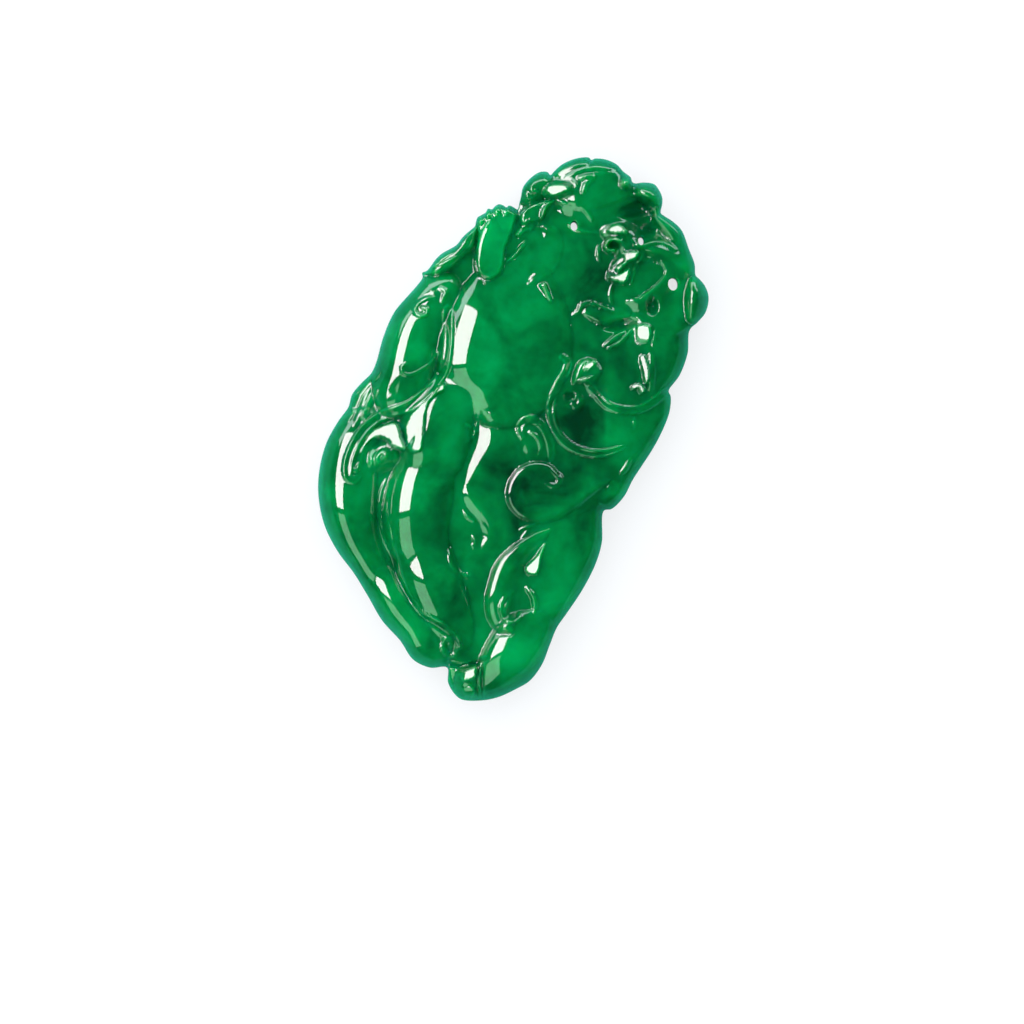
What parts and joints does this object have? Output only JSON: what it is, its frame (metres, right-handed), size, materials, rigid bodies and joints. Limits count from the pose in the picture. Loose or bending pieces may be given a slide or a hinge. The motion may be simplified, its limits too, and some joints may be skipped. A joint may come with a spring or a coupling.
{
  "type": "jade carving pendant",
  "caption": "Carved green jade pendant with fruit lobes, curling vines, leaves and a small beast in openwork, lying on its flat back.",
  "frame": {"origin": "centre of the bounding box seen from above, on the plane of the flat of the back", "axes": "+Y along the pendant from its tip to its top, +X to the right seen from the carved side, +Z out of the carved front"},
  "size_m": [0.0324, 0.0558, 0.0109],
  "materials": {
    "jade": "high polish, translucent emerald green with darker cloudy patches and lighter thin edges"
  },
  "bodies": {
    "root": {"jade_carving": "jade"}
  },
  "joints": []
}
